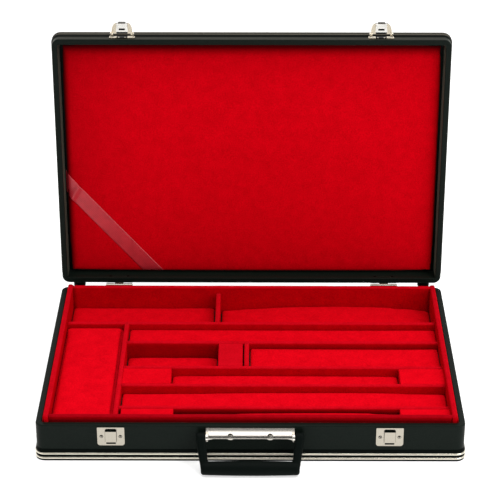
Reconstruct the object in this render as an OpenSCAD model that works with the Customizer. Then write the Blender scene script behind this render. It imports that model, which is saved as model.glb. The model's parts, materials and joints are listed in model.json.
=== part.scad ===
// Recorder case: a vinyl-covered wooden box with a hinged lid, two snap latches,
// a swinging carry handle and a velvet-lined tray for the joints of several recorders.
// The origin is the middle of the underside. +X is right, +Y is the hinge side, +Z is up.
// The case is drawn open, as it stands on a table, with the hasps up and the handle down.

/* [Case] */
// Width of the wooden box
case_w = 520; // [480:1:600]
// Depth of the wooden box, front to back
case_d = 350; // [340:1:400]
// Height of the base, from the table to its rim
base_h = 50; // [48:0.5:70]
// Height of the lid, from its rim to its top
lid_h = 28; // [28:0.5:40]
// Thickness of the box walls
wall = 7.5; // [6:0.5:8.5]
// Plan radius of the upright corners
corner_r = 10; // [9.5:0.5:14]
// Radius of the outer edge of each rim
rim_round = 1.6; // [0.5:0.1:2.5]
// Thickness of the bottom and top panels
panel_t = 4; // [3:0.5:5]
// Gap between the two rims when the case is shut
rim_gap = 0.4; // [0.2:0.1:1]

/* [Trim] */
// Height of the extruded trim that covers each panel's edge
trim_h = 16; // [14:0.5:16.2]
// How far the trim stands out from the wall
trim_out = 1.4; // [1:0.1:2.5]
// Height of the plain lip under the first metal bead
trim_lip = 2.2; // [1.8:0.1:2.6]
// Height of each metal bead
bead_h = 3; // [2.5:0.1:3.4]
// Height of the rib between the beads
bead_gap = 3.2; // [2.6:0.1:3.6]
// Bulge of each metal bead
bead_bulge = 0.9; // [0.4:0.1:1.2]
// Depth of the channel that a bead is pressed into
bead_seat = 0.7; // [0.4:0.1:0.9]

/* [Hinges] */
// Angle at which the stop lugs hold the lid open
lid_open = 92.7; // [90:0.1:98]
// Distance of the hinge axis behind the back wall
hinge_out = 3.5; // [3.3:0.1:4.5]
// Distance of each hinge from the middle
hinge_x = 182; // [120:1:195]
// Width of a hinge
hinge_w = 36; // [30:1:44]
// Height of a hinge leaf, from the axis to its edge
leaf_h = 11; // [10:0.5:11]
// Thickness of a hinge leaf
leaf_t = 1.2; // [0.8:0.1:1.4]
// Radius of the hinge knuckle
knuckle_r = 2.6; // [2.2:0.1:2.8]
// Radius of the hinge pin
hinge_pin_r = 1.2; // [1:0.1:1.4]
// How far a stop lug stands out past the axis
lug_out = 3.8; // [3.4:0.1:4.2]

/* [Latches] */
// Distance of each latch from the middle
latch_x = 168.5; // [110:0.5:200]
// Width of a catch plate
catch_w = 33; // [31:0.5:38]
// Height of a catch plate
catch_h = 25.5; // [25:0.5:29]
// Distance of the catch plate's top below the base rim
catch_down = 2.5; // [2:0.1:3]
// Thickness of the latch plates
plate_t = 1; // [0.8:0.1:1.2]
// Width of the catch's raised bridge
bridge_w = 14; // [12:0.5:16]
// Height of the catch's raised bridge
bridge_h = 15; // [14.5:0.5:16]
// Distance of the bridge's top below the base rim
bridge_down = 6.8; // [6.5:0.1:7.5]
// How far the bridge stands out from its plate
bridge_out = 3; // [2.5:0.1:3.2]
// Height of the window below the bridge
window_h = 4.2; // [3:0.1:4.4]
// Width of a hasp across its flanges
hasp_w = 27; // [25:0.5:27.5]
// Thickness of the hasp's sheet
hasp_t = 1.2; // [1:0.1:1.4]
// Angle that a hasp stands open from shut
hasp_open = 95; // [80:1:96]
// Radius of the hasp pin
hasp_pin_r = 1; // [0.8:0.1:1.1]
// Distance of the hasp pin above the lid's rim
hasp_pin_up = 9.2; // [9:0.1:9.3]
// Height of the lid's hasp plate
hasp_plate_h = 7; // [6.6:0.1:7.2]

/* [Handle] */
// Length of the handle's chrome bracket
bracket_w = 107; // [100:1:115]
// Height of the bracket at its waist
bracket_h = 14.5; // [12:0.5:15]
// Bulge of the bracket's face
bracket_bulge = 3.4; // [2:0.1:4]
// Height of the handle's pivots above the table
pivot_z = 38; // [37:0.5:42]
// Distance of the handle's pivots in front of the wall
pivot_out = 8; // [7.5:0.1:9]
// Radius of the handle's pivot pins
pivot_r = 2; // [1.5:0.1:2.5]
// Distance from the pivots to the middle of the grip
handle_reach = 36.6; // [36:0.1:44]
// Radius of the grip
grip_r = 9; // [8:0.1:9.4]
// Length of the grip over its ends
grip_w = 119; // [116:1:124]
// Width of a handle arm at its pivot
arm_w = 10.9; // [8.5:0.1:11.5]
// Radius of a handle arm's round end
arm_r = 6.5; // [5:0.1:6.8]
// Distance of each bracket screw from the middle
bracket_screw_x = 24; // [20:1:30]

/* [Feet] */
// Distance of each rear foot from the middle
foot_x = 237; // [215:1:237]
// Length of a rear foot
foot_w = 16; // [12:0.5:18]
// Height of a rear foot's pad, rim to panel
foot_d = 8; // [6:0.5:8.5]
// How far a rear foot stands out from the wall
foot_out = 8; // [7.8:0.1:9]

/* [Tray] */
// How far the velvet lip stands above the base rim
lip_rise = 7; // [5:0.5:9]
// Thickness of the lip's boards
liner_t = 8; // [6:0.5:9]
// Thickness of the dividers
divider_t = 6; // [5:0.5:7]
// Distance of the dividers' tops below the lip
divider_drop = 9; // [7:0.5:10]
// Clear width of the accessory compartment
accessory_w = 76.5; // [70:0.5:84]
// Clear widths of the five rows, from the front
row_w = [27, 46, 37, 57, 44];
// Length of the back-left compartment
back_left_l = 196.5; // [150:0.5:230]
// Length of the deep box in the fourth row
box_l = 120; // [90:0.5:140]
// Length of the block behind the deep box's end
box_block_l = 31.5; // [20:0.5:40]
// Length of the third row's left block
row3_left_l = 61.5; // [40:0.5:80]
// Length of the third row's right block
row3_right_l = 56.5; // [40:0.5:80]
// Length of the front row's left block
row1_left_l = 67.5; // [40:0.5:80]
// Length of the front row's right block
row1_right_l = 61.5; // [40:0.5:80]
// Gap left beside the front row's left block
row1_side_gap = 3.5; // [3:0.1:5]
// Drop of the deep floors below the dividers' tops
deep_drop = 22; // [18:0.5:23]
// Drop of the shallow floors below the dividers' tops
shallow_drop = 8; // [6:0.5:10]
// Drop of the third row's floor
row3_drop = 12; // [9:0.5:14]
// Drop of the second row's floor
row2_drop = 11.4; // [9:0.2:14]
// Drop of the front row's floor
row1_drop = 7.6; // [6:0.2:10]
// Thickness of a floor pad at its edge
pad_t = 5; // [4:0.5:6]
// Radius of a pad's rolled edge
pad_roll = 2.5; // [1.5:0.5:3.5]

/* [Accessory lid] */
// Gap round the lift-out lid
accessory_gap = 3.75; // [2:0.25:5]
// Drop of the lift-out lid's edge below the dividers' tops
accessory_drop = 3.2; // [2:0.1:5]
// Thickness of the lift-out lid's board
accessory_board_t = 3; // [2:0.5:4]
// Thickness of the lift-out lid's padding at its edge
accessory_pad_t = 4.5; // [3.5:0.5:5.5]
// Length of each ledge that the lift-out lid lies on
ledge_l = 14; // [10:0.5:20]
// Thickness of the pad in the accessory compartment
accessory_floor_t = 5; // [4:0.5:7]

/* [Lid lining] */
// Thickness of the lid's padding at its edge
lining_t = 7; // [6:0.5:8]
// Rise of the lid's padding in its middle
lining_crown = 2; // [1:0.5:4]
// Radius of the padding's rolled edge
lining_roll = 6.5; // [4:0.5:7]
// Width of the ribbon across the lid's corner
ribbon_w = 21; // [15:0.5:26]
// Thickness of the ribbon
ribbon_t = 0.5; // [0.4:0.1:0.8]
// Distance of the ribbon's middle from the corner, along the side
ribbon_up = 136; // [100:1:160]
// Distance of the ribbon's middle from the corner, along the bottom
ribbon_along = 121; // [90:1:150]

/* [Hidden] */
$fn = 48;

// Clearances
fit = 0.1;
soft_fit = 0.3;
run_fit = 0.05;
stop_gap = 0.2;
latch_gap = 0.4;
lip_clear = 1.2;
hook_gap = 0.3;

// Heights in the base
lip_top = base_h + lip_rise;
divider_top = lip_top - divider_drop;

// Plan of the tray, inside the walls and inside the lip
inner_w = case_w - 2*wall;
inner_d = case_d - 2*wall;
inner_r = corner_r - wall;
tray_x = inner_w/2 - liner_t;
tray_y = inner_d/2 - liner_t;
side_x = -tray_x + accessory_w;
rows_x = side_x + divider_t;
rows_l = tray_x - rows_x;

// Front face of each row and of each row divider, counted from the front
function row_y(i) = -tray_y + (i == 0 ? 0 : row_sum(i) + i*divider_t);
function row_sum(i) = i == 0 ? 0 : row_w[i - 1] + row_sum(i - 1);
function divider_y(i) = row_y(i) + row_w[i];
back_y = divider_y(4) + divider_t;
back_w = tray_y - back_y;
back_divider_x = -tray_x + back_left_l;
block_gap = 2;
trough_divider_x = rows_x + box_l + box_block_l + block_gap;

// Hinge axis
axis_y = case_d/2 + hinge_out;
axis_z = base_h + rim_gap/2;

// Handle: the grip rests on the table, so its drop sets the angle of the arms
handle_drop = pivot_z - grip_r;
handle_angle = asin(handle_drop/handle_reach);
pivot_y = -case_d/2 - pivot_out;

// Hasp, measured from its pin along the hasp and outwards
tongue_t = 0.8;
tongue_gap = 0.8;
hasp_in = plate_t + bridge_out + latch_gap + tongue_t + tongue_gap;
hasp_knuckle_r = hasp_pin_r + 1.2;
hasp_pin_out = hasp_in + hasp_t - hasp_knuckle_r;
hook_h = 1.3;
hook_w = 9.5;
hook_clear = 0.8;
hasp_tip = hasp_pin_up + rim_gap + bridge_down - hook_clear;
hook_from = hasp_tip - hook_h;
latch_window = hook_clear + hook_h + hook_gap;
ear_t = 1.2;
ear_x = hasp_w/2 + 0.4;

// Screws and rivets
screw_r = 1.2;
screw_l = 6;
head_r = 2.2;
head_h = 1.1;

black = "#1c1f1c";
velvet = "#b8101c";
nickel = "#d8d6cf";

// Rounded rectangle in plan
module plan(w, d, r) {
    square([w - 2*r, d], center = true);
    square([w, d - 2*r], center = true);
    for (x = [-1, 1], y = [-1, 1])
        translate([x*(w/2 - r), y*(d/2 - r)])
            circle(r);
}

// A profile taken round the box: its x is outwards from the wall's face, its y is height
module ring(w, d, r) {
    for (turn = [0, 180])
        rotate(turn) {
            translate([-(w/2 - r), d/2, 0])
                rotate([90, 0, 90])
                    linear_extrude(w - 2*r) children();
            translate([w/2, d/2 - r, 0])
                rotate([90, 0, 0])
                    linear_extrude(d - 2*r) children();
            translate([w/2 - r, d/2 - r, 0])
                rotate_extrude(angle = 90) translate([r, 0]) children();
            translate([-(w/2 - r), d/2 - r, 0])
                rotate(90)
                    rotate_extrude(angle = 90) translate([r, 0]) children();
        }
}

// Upright bar with its top corners rounded, standing on y = 0
module round_top(w, h, r) {
    translate([-w/2, 0]) square([w, h - r]);
    translate([-w/2 + r, 0]) square([w - 2*r, h]);
    for (x = [-1, 1]) translate([x*(w/2 - r), h - r]) circle(r);
}

// Low dome for the head of a screw or rivet, rising from z = 0
module dome(r, h) {
    ball = (r*r + h*h)/(2*h);
    rotate_extrude()
        intersection() {
            translate([0, h - ball]) circle(ball);
            square([r, h]);
        }
}

// Screw or rivet along -Y, its head's seat at the origin
module fastener(r, l, head, rise) {
    rotate([90, 0, 0]) dome(head, rise);
    rotate([-90, 0, 0]) cylinder(r = r, h = l);
}

// Hole for a fastener that runs in along +Y from the origin
module pilot(r, l) {
    translate([0, -fit, 0]) rotate([-90, 0, 0]) cylinder(r = r + run_fit, h = l + 2*fit);
}

// Drop of a quarter-round edge at distance t in from the side
function edge_drop(t, r) = t >= r ? 0 : r - sqrt(r*r - (r - t)*(r - t));

// Distance in from a rounded outline, for a point tx and ty from its two nearest sides
function edge_in(tx, ty, r) =
    tx < r && ty < r ? max(0, r - norm([r - tx, r - ty])) : min(tx, ty);

// Share of the crown along a side, 1 at the peak and 0 at both ends
function swell(u, peak) = 1 - pow((u - peak)/(u < peak ? 1 + peak : 1 - peak), 2);

// Height of a crowned pad of l by w at a point measured from its corner
function pad_height(x, y, l, w, h, crown, roll, peak) =
    h + crown*swell(2*x/l - 1, peak)*(1 - 0.25*pow(2*y/w - 1, 2))
    - edge_drop(edge_in(min(x, l - x), min(y, w - y), roll), roll);

// Lines across a pad: three close together in each rolled edge, the rest evenly spaced
function stations(l, roll, cells) = concat(
    [for (a = [0, 30, 60]) roll*(1 - cos(a))],
    [for (k = [0:cells]) roll + (l - 2*roll)*k/cells],
    [for (a = [60, 30, 0]) l - roll*(1 - cos(a))]);

// Crowned pad with rolled edges and sides that draw in towards its underside at z = 0
module pad(l, w, h, crown, roll = pad_roll, peak = 0, cells_l = 10, cells_w = 3) {
    draw_in = 0.8;
    xs = stations(l, roll, cells_l);
    ys = stations(w, roll, cells_w);
    nx = len(xs);
    ny = len(ys);
    top = [for (y = ys, x = xs) [x - l/2, y - w/2, pad_height(x, y, l, w, h, crown, roll, peak)]];
    edge = concat([for (i = [0:nx - 1]) i], [for (j = [1:ny - 1]) j*nx + nx - 1],
        [for (i = [nx - 2:-1:0]) (ny - 1)*nx + i], [for (j = [ny - 2:-1:1]) j*nx]);
    n = len(edge);
    foot = [for (k = edge) [top[k][0]*(1 - 2*draw_in/l), top[k][1]*(1 - 2*draw_in/w), 0]];
    first = nx*ny;
    polyhedron(
        points = concat(top, foot, [[0, 0, 0]]),
        faces = concat(
            [for (j = [0:ny - 2], i = [0:nx - 2]) [j*nx + i, (j + 1)*nx + i, (j + 1)*nx + i + 1]],
            [for (j = [0:ny - 2], i = [0:nx - 2]) [j*nx + i, (j + 1)*nx + i + 1, j*nx + i + 1]],
            [for (k = [0:n - 1]) [edge[k], edge[(k + 1) % n], first + (k + 1) % n]],
            [for (k = [0:n - 1]) [edge[k], first + (k + 1) % n, first + k]],
            [for (k = [0:n - 1]) [first + n, first + k, first + (k + 1) % n]]));
}

// Velvet-covered block with soft top edges, standing on z = 0
module soft_block(l, w, h) {
    soft_r = 1.6;
    intersection() {
        rotate([90, 0, 0]) linear_extrude(w, center = true) round_top(l, h, soft_r);
        rotate([90, 0, 90]) linear_extrude(l, center = true) round_top(w, h, soft_r);
    }
}

// Wall of one half of the box, panel side down, with its rim's edges rounded
module band_profile(h) {
    inner_round = 1;
    difference() {
        translate([-wall, trim_foot]) square([wall, h - trim_foot]);
        translate([-rim_round, h - rim_round]) edge_cut(rim_round);
        translate([-wall + inner_round, h - inner_round]) mirror([1, 0]) edge_cut(inner_round);
    }
}
trim_foot = 1;

// What a quarter round leaves off a square corner
module edge_cut(r) {
    difference() {
        square([2*r, 2*r]);
        circle(r);
    }
}

// Extruded trim: a foot under the wall, two bead channels and a taper up the wall
module trim_profile() {
    foot_in = 3;
    bead_1 = trim_lip;
    bead_2 = bead_1 + bead_h + bead_gap;
    shoulder = bead_2 + bead_h;
    seat = trim_out - bead_seat;
    polygon([[-foot_in, 0], [trim_out - 0.3, 0], [trim_out, 0.3], [trim_out, bead_1], [seat, bead_1],
        [seat, bead_1 + bead_h], [trim_out, bead_1 + bead_h], [trim_out, bead_2], [seat, bead_2],
        [seat, shoulder], [trim_out, shoulder], [trim_out + 0.3, shoulder + 0.8], [0.3, trim_h],
        [fit, trim_h], [fit, trim_foot - fit], [-foot_in, trim_foot - fit]]);
}

// Section of one metal bead, half-round and a light fit in its channel
module bead_profile(up) {
    height = bead_h - fit;
    ball = (height*height/4 + bead_bulge*bead_bulge)/(2*bead_bulge);
    back = trim_out - bead_seat + fit/2;
    translate([back, up + fit/2]) square([bead_seat - fit/2, height]);
    translate([trim_out, up + bead_h/2])
        intersection() {
            translate([bead_bulge - ball, 0]) circle(ball);
            translate([0, -height/2]) square([bead_bulge, height]);
        }
}

module box_beads() {
    for (up = [trim_lip, trim_lip + bead_h + bead_gap])
        ring(case_w, case_d, corner_r) bead_profile(up);
}

module box_panel() {
    linear_extrude(panel_t)
        plan(inner_w - 2*fit, inner_d - 2*fit, inner_r - fit);
}

// Puts a shut lid's pieces, drawn with the rim at z = 0, on the open hinge
module on_lid() {
    translate([0, axis_y, axis_z])
        rotate([-lid_open, 0, 0])
            translate([0, -axis_y, rim_gap/2])
                children();
}

// Turns one half of the box over, so that its rim is at z = 0 and its panel on top
module turned(h) {
    translate([0, 0, h]) mirror([0, 0, 1]) children();
}

// Places of the holes that the fasteners need in the base's wall and in the lid's wall
module base_pilots() {
    at_catch_screws() pilot(screw_r, screw_l);
    at_handle_screws() pilot(screw_r, screw_l);
    at_base_rivets() rotate(180) pilot(screw_r, screw_l);
}

module lid_pilots() {
    at_hasp_screws() pilot(screw_r, screw_l);
    at_lid_rivets() rotate(180) pilot(screw_r, wall);
}

module base_band() {
    color(black)
        difference() {
            ring(case_w, case_d, corner_r) band_profile(base_h);
            base_pilots();
        }
}

module base_panel() {
    color(black) box_panel();
}

module base_trim() {
    color(black) ring(case_w, case_d, corner_r) trim_profile();
}

module base_beads() {
    color(nickel) box_beads();
}

// Section of a lip board, the wall on its right: the lip stands clear of the shut lid's wall
module liner_profile() {
    low_h = base_h - panel_t - 2;
    translate([-(liner_t - fit)/2, 0]) square([liner_t - fit, low_h]);
    translate([-lip_clear/2, 0])
        round_top(liner_t - fit - lip_clear, lip_top - panel_t, lip_round);
}

// Board of the lip along the side walls: full depth, its ends rounded into the box's corners
module side_liner(side) {
    color(velvet)
        intersection() {
            translate([side*(inner_w/2 - fit - liner_t/2), 0, panel_t])
                rotate([90, 0, 0])
                    linear_extrude(inner_d, center = true)
                        scale([side, 1]) liner_profile();
            linear_extrude(lip_top + 1)
                plan(inner_w - 2*fit, inner_d - 2*fit, inner_r + fit);
        }
}
lip_round = 2.2;

// Board of the lip between the side boards, along the front or the back
module cross_liner(side) {
    color(velvet)
        translate([0, side*(inner_d/2 - fit - liner_t/2), panel_t])
            rotate([90, 0, 90])
                linear_extrude(2*(tray_x - fit), center = true)
                    scale([side, 1]) liner_profile();
}

module liner_front() { cross_liner(-1); }
module liner_back() { cross_liner(1); }
module liner_left() { side_liner(-1); }
module liner_right() { side_liner(1); }

// Divider along X from x0 to x1, its front face at y
module divider_along(x0, x1, y) {
    color(velvet)
        translate([(x0 + x1)/2, y + divider_t/2, panel_t])
            rotate([90, 0, 90])
                linear_extrude(x1 - x0 - 2*fit, center = true)
                    round_top(divider_t, divider_top - panel_t, divider_t/2 - 0.6);
}

// Divider along Y from y0 to y1, its left face at x
module divider_across(x, y0, y1) {
    color(velvet)
        translate([x + divider_t/2, (y0 + y1)/2, panel_t])
            rotate([90, 0, 0])
                linear_extrude(y1 - y0 - 2*fit, center = true)
                    round_top(divider_t, divider_top - panel_t, divider_t/2 - 0.6);
}

module side_divider() { divider_across(side_x, -tray_y, divider_y(4)); }
module row_divider_1() { divider_along(rows_x, tray_x, divider_y(0)); }
module row_divider_2() { divider_along(rows_x, tray_x, divider_y(1)); }
module row_divider_3() { divider_along(rows_x, tray_x, divider_y(2)); }
module row_divider_4() { divider_along(rows_x, tray_x, divider_y(3)); }
module row_divider_5() { divider_along(-tray_x, tray_x, divider_y(4)); }
module back_divider() { divider_across(back_divider_x, back_y, tray_y); }
module trough_divider() { divider_across(trough_divider_x, row_y(3), divider_y(3)); }

// Block in row i from x0 to x1, its top level with the dividers
module row_block(i, x0, x1) {
    color(velvet)
        translate([(x0 + x1)/2, row_y(i) + row_w[i]/2, panel_t])
            soft_block(x1 - x0 - 2*fit, row_w[i] - 2*soft_fit, divider_top - panel_t - 0.5);
}

module box_block() { row_block(3, rows_x + box_l, rows_x + box_l + box_block_l); }

module row3_blocks() {
    row_block(2, rows_x, rows_x + row3_left_l);
    row_block(2, tray_x - row3_right_l, tray_x);
}

module row1_blocks() {
    row_block(0, rows_x + row1_side_gap, rows_x + row1_left_l);
    row_block(0, tray_x - row1_right_l, tray_x);
}

// The padded compartments: x from, x to, y from, width, drop of the floor, crown and its peak
back_left_bay = [-tray_x, back_divider_x, back_y, back_w, deep_drop, 0.8, 0];
back_right_bay = [back_divider_x + divider_t, tray_x, back_y, back_w, deep_drop + 4.5, 11, 0.1];
row5_bay = [rows_x, tray_x, row_y(4), row_w[4], shallow_drop, 0.8, 0];
box_bay = [rows_x, rows_x + box_l, row_y(3), row_w[3], deep_drop, 1.2, 0];
trough_bay = [trough_divider_x + divider_t, tray_x, row_y(3), row_w[3], shallow_drop, 0.8, -0.3];
row3_bay = [rows_x + row3_left_l, tray_x - row3_right_l, row_y(2), row_w[2], row3_drop, 3, -0.1];
row2_bay = [rows_x, tray_x, row_y(1), row_w[1], row2_drop, 4.7, 0.35];
row1_bay = [rows_x + row1_left_l, tray_x - row1_right_l, row_y(0), row_w[0], row1_drop, 3, 0.4];
bays = [back_left_bay, back_right_bay, row5_bay, box_bay, trough_bay, row3_bay, row2_bay, row1_bay];

function bay_floor(bay) = divider_top - bay[4];

// Floor pad of a compartment
module bay_pad(bay, cells_w = 3) {
    color(velvet)
        translate([(bay[0] + bay[1])/2, bay[2] + bay[3]/2, bay_floor(bay) - pad_t])
            pad(bay[1] - bay[0] - 2*soft_fit, bay[3] - 2*soft_fit, pad_t, bay[5],
                peak = bay[6], cells_w = cells_w);
}

module pad_back_left() { bay_pad(back_left_bay, 4); }
module pad_back_right() { bay_pad(back_right_bay, 4); }
module pad_row5() { bay_pad(row5_bay); }
module pad_box() { bay_pad(box_bay); }
module pad_trough() { bay_pad(trough_bay); }
module pad_row3() { bay_pad(row3_bay); }
module pad_row2() { bay_pad(row2_bay); }
module pad_row1() { bay_pad(row1_bay, 2); }

// Packing that carries each floor pad
module packing_blocks() {
    color("#8c6a45")
        for (bay = bays)
            translate([bay[0] + soft_fit, bay[2] + soft_fit, panel_t])
                cube([bay[1] - bay[0] - 2*soft_fit, bay[3] - 2*soft_fit,
                    bay_floor(bay) - pad_t - panel_t]);
}

// Accessory compartment, between the front lip and the back row divider
accessory_x = (-tray_x + side_x)/2;
accessory_l = divider_y(4) + tray_y;
accessory_y = -tray_y + accessory_l/2;
accessory_seat = divider_top - accessory_drop - accessory_pad_t - accessory_board_t;

module pad_accessory() {
    color(velvet)
        translate([accessory_x, accessory_y, panel_t])
            rotate(90)
                pad(accessory_l - 2*ledge_l - 2*soft_fit, accessory_w - 2*soft_fit,
                    accessory_floor_t, 1);
}

// Ledges at the two ends of the compartment, with the pad between them
module accessory_ledges() {
    color(velvet)
        for (side = [-1, 1])
            translate([accessory_x, accessory_y + side*(accessory_l - ledge_l)/2, panel_t])
                soft_block(accessory_w - 2*fit, ledge_l - 2*fit, accessory_seat - panel_t);
}

module accessory_lid_board() {
    color("#7a1018")
        translate([accessory_x, accessory_y, accessory_seat])
            linear_extrude(accessory_board_t)
                plan(accessory_w - 2*accessory_gap, accessory_l - 2*accessory_gap, 5);
}

module accessory_lid_pad() {
    color(velvet)
        translate([accessory_x, accessory_y, accessory_seat + accessory_board_t])
            rotate(90)
                pad(accessory_l - 2*accessory_gap, accessory_w - 2*accessory_gap,
                    accessory_pad_t, 0.8, cells_w = 4);
}

// Catch: a plate with a raised strap, pierced above and below the strap
catch_top = base_h - catch_down;
bridge_top = base_h - bridge_down;
catch_screw_x = 11.5;
catch_screw_z = catch_top - catch_h/2;

module catch_plate() {
    low_r = 3.5;
    high_r = 0.8;
    color(nickel)
        difference() {
            union() {
                rotate([90, 0, 0])
                    linear_extrude(plate_t)
                        difference() {
                            union() {
                                translate([-catch_w/2, catch_top - catch_h + low_r])
                                    square([catch_w, catch_h - low_r - high_r]);
                                translate([-catch_w/2 + high_r, catch_top - catch_h + low_r])
                                    square([catch_w - 2*high_r, catch_h - low_r]);
                                translate([-catch_w/2 + low_r, catch_top - catch_h])
                                    square([catch_w - 2*low_r, catch_h - high_r]);
                                for (x = [-1, 1]) {
                                    translate([x*(catch_w/2 - low_r), catch_top - catch_h + low_r])
                                        circle(low_r);
                                    translate([x*(catch_w/2 - high_r), catch_top - high_r])
                                        circle(high_r);
                                }
                            }
                            translate([-window_w/2, bridge_top - bridge_h - window_h])
                                square([window_w, bridge_h + window_h + latch_window]);
                        }
                translate([0, 0, bridge_top - bridge_h]) bridge();
            }
            for (x = [-1, 1])
                translate([x*catch_screw_x, -plate_t, catch_screw_z])
                    pilot(screw_r, plate_t);
        }
}
window_w = bridge_w - 2.4;

// The strap, in section: two short legs and a face with rounded corners
module bridge() {
    depth = plate_t + bridge_out;
    strap = 1;
    round_r = 1.2;
    linear_extrude(bridge_h)
        difference() {
            mirror([0, 1]) round_top(bridge_w, depth, round_r);
            translate([-bridge_w/2 + strap, -depth + strap]) square([bridge_w - 2*strap, depth]);
        }
}

module catch_plate_left() {
    translate([-latch_x, -case_d/2, 0]) catch_plate();
}
module catch_plate_right() {
    translate([latch_x, -case_d/2, 0]) catch_plate();
}

module at_catch_screws() {
    for (s = [-1, 1], x = [-1, 1])
        translate([s*latch_x + x*catch_screw_x, -case_d/2, catch_screw_z]) children();
}

module catch_screws() {
    color(nickel)
        at_catch_screws()
            translate([0, -plate_t, 0]) fastener(screw_r, plate_t + screw_l, head_r, head_h);
}

// Chrome bracket of the handle: a bulged bar, waisted between its ends, with an ear at each end
bracket_z = pivot_z;
bracket_screw_z = bracket_z - 0.5;
bracket_seat = bracket_bulge - 0.4;
bracket_head_r = 3.2;
cheek_r = 5;

module bracket_outline() {
    end_h = bracket_h + 3.5;
    flare_l = 9;
    boss_r = 5;
    top = bracket_z + bracket_h/2 + 2;
    polygon([[-bracket_w/2, top], [bracket_w/2, top], [bracket_w/2, top - end_h],
        [bracket_w/2 - flare_l/2, top - bracket_h - 1.5], [bracket_w/2 - flare_l, top - bracket_h],
        [-bracket_w/2 + flare_l, top - bracket_h], [-bracket_w/2 + flare_l/2, top - bracket_h - 1.5],
        [-bracket_w/2, top - end_h]]);
    for (x = [-1, 1]) translate([x*bracket_screw_x, bracket_screw_z - 1.6]) circle(boss_r);
}

module handle_bracket() {
    edge_t = 1.2;
    bulge_r = (pow(bracket_h/2 + 2, 2) + pow(bracket_bulge - edge_t, 2))
        /(2*(bracket_bulge - edge_t));
    color(nickel)
        translate([0, -case_d/2, 0])
            difference() {
                union() {
                    intersection() {
                        rotate([90, 0, 0]) linear_extrude(bracket_bulge) bracket_outline();
                        translate([0, bulge_r - bracket_bulge, bracket_z])
                            rotate([0, 90, 0])
                                cylinder(r = bulge_r, h = bracket_w + 2, center = true, $fn = 96);
                    }
                    for (s = [-1, 1])
                        translate([s*(bracket_w/2 - ear_w/2), 0, bracket_z]) bracket_ear();
                }
                for (x = [-1, 1])
                    translate([x*bracket_screw_x, -bracket_bulge - fit, bracket_screw_z])
                        rotate([-90, 0, 0]) {
                            cylinder(r = screw_r + run_fit, h = bracket_bulge + 1);
                            cylinder(r = bracket_head_r + fit, h = bracket_bulge - bracket_seat + fit);
                        }
                translate([0, -pivot_out, 0])
                    at_pivots() cylinder(r = pivot_r + run_fit, h = 4*ear_w, center = true);
            }
}
ear_w = 2.4;

// Cheek that stands out from the wall and holds a pivot pin
module bracket_ear() {
    rotate([90, 0, 90])
        linear_extrude(ear_w, center = true) {
            translate([-pivot_out, 0]) circle(cheek_r);
            translate([-pivot_out, -cheek_r]) square([pivot_out, 2*cheek_r]);
        }
}

// Both pivots' places on the bracket, with Z along the pin
module at_pivots() {
    for (s = [-1, 1])
        translate([s*(bracket_w/2 - ear_w/2), 0, pivot_z]) rotate([0, 90, 0]) children();
}

module handle_screws() {
    color(nickel)
        at_handle_screws()
            translate([0, -bracket_seat, 0])
                fastener(screw_r, bracket_seat + screw_l, bracket_head_r, 1.6);
}

module at_handle_screws() {
    for (x = [-1, 1])
        translate([x*bracket_screw_x, -case_d/2, bracket_screw_z]) children();
}

pin_l = 10;
arm_from = bracket_w/2 + 0.6;

module handle_pins() {
    color(nickel)
        for (s = [-1, 1])
            translate([s*(bracket_w/2 - ear_w - 0.4 + pin_l/2), pivot_y, pivot_z])
                rotate([0, 90, 0]) cylinder(r = pivot_r, h = pin_l, center = true);
}

// Bail handle, its pivots on X and its grip along -Y; the arms taper into the barrel of the grip.
// Each arm is relieved inside, where the bracket's cheek passes.
relief_w = 4;
module handle() {
    color(black)
        translate([0, pivot_y, pivot_z])
            rotate([handle_angle, 0, 0])
                difference() {
                    union() {
                        translate([0, -handle_reach, 0]) rotate([0, 90, 0]) grip();
                        for (s = [-1, 1]) arm(s);
                    }
                    for (s = [-1, 1]) {
                        translate([s*(arm_from + pin_l/2 - 2), 0, 0])
                            rotate([0, 90, 0])
                                cylinder(r = pivot_r + run_fit, h = pin_l, center = true);
                        translate([s*(bracket_w/2 + soft_fit - relief_w/2), 0, 0])
                            rotate([0, 90, 0])
                                cylinder(r = norm([arm_r, cheek_r]), h = relief_w, center = true);
                    }
                }
}

// Barrel of the grip, drawn up the Z axis
module grip() {
    end_r = 3.5;
    half = grip_w/2;
    rotate_extrude()
        polygon(concat([[0, -half]],
            [for (a = [-90:15:0]) [grip_radius(-half + end_r) - end_r*(1 - cos(a)),
                -half + end_r + end_r*sin(a)]],
            [for (k = [-5:5]) [grip_radius(k*(half - end_r)/6), k*(half - end_r)/6]],
            [for (a = [0:15:90]) [grip_radius(half - end_r) - end_r*(1 - cos(a)),
                half - end_r + end_r*sin(a)]],
            [[0, half]]));
}
function grip_radius(x) = grip_r - grip_swell*pow(2*x/grip_w, 2);
grip_swell = 0.9;

// Arm from a pivot to the grip: two round-edged discs with the skin drawn between them
module arm(s) {
    root_r = 6.4;
    hull() {
        translate([s*(arm_from + arm_w/2), 0, 0])
            rotate([0, 90, 0]) disc(arm_r, arm_w);
        translate([s*(grip_w/2 - 4.5), -handle_reach + 1.5, 0])
            rotate([0, 90, 0]) disc(root_r, 8.4);
    }
}

module disc(r, w) {
    soft = 1.6;
    rotate_extrude($fn = 32)
        polygon([[0, -w/2], [r - soft, -w/2], [r - 0.3*soft, -w/2 + 0.3*soft], [r, -w/2 + soft],
            [r, w/2 - soft], [r - 0.3*soft, w/2 - 0.3*soft], [r - soft, w/2], [0, w/2]]);
}

// Hinges: drawn about the axis with the base's wall below and the lid's wall above
segment_gap = 0.3;
middle_w = hinge_w/3;

module at_hinges() {
    for (s = [-1, 1]) translate([s*hinge_x, axis_y, axis_z]) children();
}

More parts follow.
